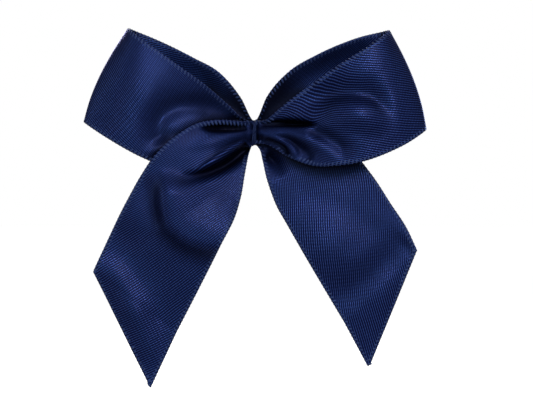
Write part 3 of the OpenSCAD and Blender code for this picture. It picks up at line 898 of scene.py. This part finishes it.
# ---------------------------------------------------------------- thread
THREAD_PLY_R = 0.075
THREAD_TURNS = 3
THREAD_PITCH = 0.19
THREAD_HALF_Y, THREAD_HALF_Z, THREAD_MID_Y = 1.02, 1.9, -3.1
THREAD_STEPS = 150
PLY_OFFSET = THREAD_PLY_R * 0.8     # from the thread's middle to each ply's
PLY_TWISTS = 22                     # twists of the plies in one turn of the thread
THREAD_SQUARENESS = 0.72
TURN_SWAY = 0.03
CROSSING_SWAY, CROSSING_LIFT = 0.36, 0.13


def thread_ply(turn, ply):
    """The path of one ply of one turn. The last turn lies on the others and crosses them."""
    crossing = turn == THREAD_TURNS
    x0 = 0.0 if crossing else (turn - (THREAD_TURNS - 1) / 2) * THREAD_PITCH
    lift = CROSSING_LIFT if crossing else 0.0
    path = []
    for k in range(THREAD_STEPS):
        a = 2 * math.pi * k / THREAD_STEPS
        c, d = math.cos(a), math.sin(a)
        x = x0 + (CROSSING_SWAY * math.sin(a + 0.6) if crossing else TURN_SWAY * math.sin(3 * a + turn))
        y = THREAD_MID_Y + THREAD_HALF_Y * boxy(c, THREAD_SQUARENESS)
        z = THREAD_HALF_Z * boxy(d, THREAD_SQUARENESS)
        twist = PLY_TWISTS * a + ply * math.pi + turn
        p = np.array([x, y, z]) + np.array([0.0, c, d]) * (lift + PLY_OFFSET * math.cos(twist))
        p[0] += PLY_OFFSET * math.sin(twist)
        path.append(p)
    return path


def binding_thread():
    """Turns of two-ply thread round the gathered ribbon, with one that crosses the others."""
    sides = 8
    verts, faces = [], []
    for turn in range(THREAD_TURNS + 1):
        for ply in (0, 1):
            faces += [tuple(len(verts) + k for k in f) for f in tube_faces(THREAD_STEPS, sides, True)]
            verts += list(tube_points(thread_ply(turn, ply), THREAD_PLY_R, sides, True))
    obj = new_object("thread_turns", verts, faces, thread_mat)
    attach(obj, "bow")
    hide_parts("binding_thread")


binding_thread()


# ---------------------------------------------------------------- glue pad and lining
def node_box(name):
    """A CAD node's lowest and highest corners, in millimetres."""
    lo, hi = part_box(name)
    return np.array(lo) / MM, np.array(hi) / MM


def glue_pad(around=72, layers=12, lumps=6):
    """A bead of hot-melt glue, squeezed out between the knot and the clip."""
    lo, hi = node_box("glue_pad")
    middle, half = (lo + hi) / 2, (hi - lo) / 2
    phases = np.random.default_rng(5).uniform(0, 2 * math.pi, lumps)
    verts = []
    for j in range(layers + 1):
        t = -1 + 2 * j / layers
        # pulled in at both faces and at the middle, as squeezed glue is
        pull = (1 - abs(t) ** 5) ** 0.5
        waist = 1 - 0.06 * math.cos(math.pi * t)
        for k in range(around):
            a = 2 * math.pi * k / around
            edge = 1 + sum(0.018 * math.sin((m + 2) * a + phases[m] + 0.5 * t) for m in range(lumps))
            r = (0.80 + 0.17 * pull) * waist * edge
            out = np.array([r * boxy(math.cos(a), 0.6), t, r * boxy(math.sin(a), 0.6)])
            verts.append(middle + half * out)
    obj = new_object("glue_bead", verts, tube_faces(layers + 1, around, False), glue_mat)
    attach(obj, "bow")
    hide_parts("glue_pad")


RIB_PITCH, RIB_DEPTH = 0.55, 0.09
LINING_EDGE = 0.93         # share of the half width at which the lining starts to round off
LINING_EDGE_DROP = 0.06
LINING_TIP = 0.05          # its half width at the very tip


def clip_lining(rows=301, columns=21):
    """Grosgrain strip glued along the clip, with a rounded tip and ribs across its length.
    """
    lo, hi = node_box("clip_lining")
    half_z = (hi[2] - lo[2]) / 2
    front, back = [], []
    for x in lo[0] + (hi[0] - lo[0]) * np.linspace(0, 1, rows):
        inset = max(half_z - (x - lo[0]), 0)
        half = max(math.sqrt(max(half_z**2 - inset**2, 0)), LINING_TIP)
        groove = 0.5 + 0.5 * math.cos(2 * math.pi * (x - lo[0]) / RIB_PITCH)
        for v in np.linspace(-1, 1, columns):
            drop = max(abs(v) - LINING_EDGE, 0) / (1 - LINING_EDGE)
            front.append((x, lo[1] + RIB_DEPTH * groove + LINING_EDGE_DROP * drop, v * half))
            back.append((x, hi[1], v * half))
    obj = new_object("grosgrain_lining", front + back, two_sided_faces(rows, columns), lining_mat)
    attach(obj, "bow")
    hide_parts("clip_lining")


glue_pad()
clip_lining()

# ---------------------------------------------------------------- clip
for name, mat, bevel_width in (
    ("clip_front_arm", steel, 0.09),
    ("clip_rear_arm", steel, 0.09),
    ("hinge_pin", pin_steel, 0.07),
):
    obj = frame["nodes"][name]
    obj.data.materials.clear()
    obj.data.materials.append(mat)
    bevel = obj.modifiers.new("edge", "BEVEL")
    bevel.width = bevel_width * MM
    bevel.segments = 2
    bevel.limit_method = "ANGLE"
    bevel.angle_limit = math.radians(35)

SPRING_WIRE_R = 0.16
SPRING_TURNS = 5.5
SPRING_LEG = 6.0
SPRING_LEG_START = 0.3                            # the legs leave the coil this far from the hinge
FRONT_LEG_SLOPE, REAR_LEG_SLOPE = 0.03, 0.02      # the legs follow the levers
COIL_STEPS, LEG_POINTS = 40, 20                   # steps in a turn of the coil, and points along a leg


def torsion_spring():
    """One wire: a leg under the front lever, the coil round the pin, and a leg under the rear lever."""
    x0, y0, _ = np.array(joints["clip_jaw"]["pos_m"]) / MM
    lo, hi = node_box("torsion_spring")
    coil_r = y0 - lo[1] - SPRING_WIRE_R - SPRING_LEG * FRONT_LEG_SLOPE
    half = (hi[2] - lo[2]) / 2 - SPRING_WIRE_R
    steps = int(SPRING_TURNS * COIL_STEPS)
    leg = np.linspace(SPRING_LEG_START, SPRING_LEG, LEG_POINTS)
    path = [(x0 + x, y0 - coil_r - x * FRONT_LEG_SLOPE, -half) for x in leg[::-1]]
    for k in range(steps + 1):
        a = math.radians(-90 - 360 * SPRING_TURNS * k / steps)
        path.append((x0 + coil_r * math.cos(a), y0 + coil_r * math.sin(a), -half + 2 * half * k / steps))
    path += [(x0 + x, y0 + coil_r + x * REAR_LEG_SLOPE, half) for x in leg]
    sides = 12
    verts = tube_points(path, SPRING_WIRE_R, sides, False)
    obj = new_object("spring_coil", verts, tube_faces(len(path), sides, False), wire_steel)
    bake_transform(obj)
    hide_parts("torsion_spring")


torsion_spring()

# ---------------------------------------------------------------- stage, light, camera
scene = bpy.context.scene
scene.view_settings.view_transform = "Standard"


def for_camera(tree, seen, cast):
    """A value that the camera sees as one thing, while it lights the object as another."""
    path = node(tree, "ShaderNodeLightPath").outputs["Is Camera Ray"]
    return node(tree, "ShaderNodeMapRange", {"Value": path, "To Min": cast, "To Max": seen}).outputs[0]


FLOOR_Z = -60.0
FLOOR_HALF_M = 3.0


def stage_floor():
    """A pale floor that lights nothing by itself."""
    s, z = FLOOR_HALF_M, FLOOR_Z * MM
    mesh = bpy.data.meshes.new("floor")
    mesh.from_pydata([(-s, -s, z), (s, -s, z), (s, s, z), (-s, s, z)], [], [(0, 1, 2, 3)])
    floor = bpy.data.objects.new("floor", mesh)
    scene.collection.objects.link(floor)
    mat, tree, bsdf = material("pale_floor")
    feed_all(tree, bsdf, {
        "Base Color": (0.3, 0.3, 0.3),
        "Roughness": 0.9,
        "Emission Color": (1.0, 1.0, 1.0),
        "Emission Strength": for_camera(tree, 0.9, 0.0),
    })
    mesh.materials.append(mat)


def studio_world():
    """White to look at, and dimmer as a light."""
    world = bpy.data.worlds.new("studio")
    scene.world = world
    world.use_nodes = True
    tree = world.node_tree
    strength = for_camera(tree, 1.0, 0.33)
    feed_all(tree, tree.nodes["Background"], {"Color": (1.0, 1.0, 1.0), "Strength": strength})


AIM = (0.0, -0.005, -0.010)     # metres, as the lights' places and sizes are


def area_light(name, where, size, power, colour):
    """A rectangular lamp that points at AIM."""
    data = bpy.data.lights.new(name, "AREA")
    data.shape = "RECTANGLE"
    data.size, data.size_y = size
    data.energy = power
    data.color = colour
    light = bpy.data.objects.new(name, data)
    scene.collection.objects.link(light)
    light.location = where
    light.rotation_euler = (Vector(AIM) - Vector(where)).to_track_quat("-Z", "Y").to_euler()


stage_floor()
studio_world()
area_light("key", (0.14, -0.36, 0.20), (0.15, 0.13), 1.4, (1.0, 0.9, 0.9))
area_light("front", (0.0, -0.44, 0.05), (0.26, 0.20), 0.36, (0.55, 1.0, 0.95))
area_light("left", (-0.24, -0.35, -0.01), (0.14, 0.20), 0.24, (1.0, 0.84, 0.72))
area_light("rim_right", (0.27, -0.15, 0.30), (0.15, 0.15), 0.2, (0.85, 1.0, 1.0))
area_light("rim_left", (-0.41, -0.10, 0.06), (0.12, 0.25), 0.3, (0.85, 1.0, 1.0))
area_light("back_key", (-0.16, 0.36, 0.18), (0.16, 0.12), 1.6, (1.0, 0.96, 0.93))
area_light("back_fill", (0.24, 0.32, -0.02), (0.12, 0.24), 0.9, (0.8, 1.0, 1.0))

CAMERA_DISTANCE = 0.300
VIEW_WIDTH = 0.0853        # across the picture at the bow
SENSOR_WIDTH = 36.0        # Blender's own, in millimetres
VIEW_CENTRE = (1.92, -4.0, -10.8)
camera_data = bpy.data.cameras.new("camera")
camera_data.lens = SENSOR_WIDTH * CAMERA_DISTANCE / VIEW_WIDTH
camera = bpy.data.objects.new("camera", camera_data)
scene.collection.objects.link(camera)
camera.location = (VIEW_CENTRE[0] * MM, VIEW_CENTRE[1] * MM - CAMERA_DISTANCE, VIEW_CENTRE[2] * MM)
camera.rotation_euler = (math.radians(90), 0, 0)
scene.camera = camera
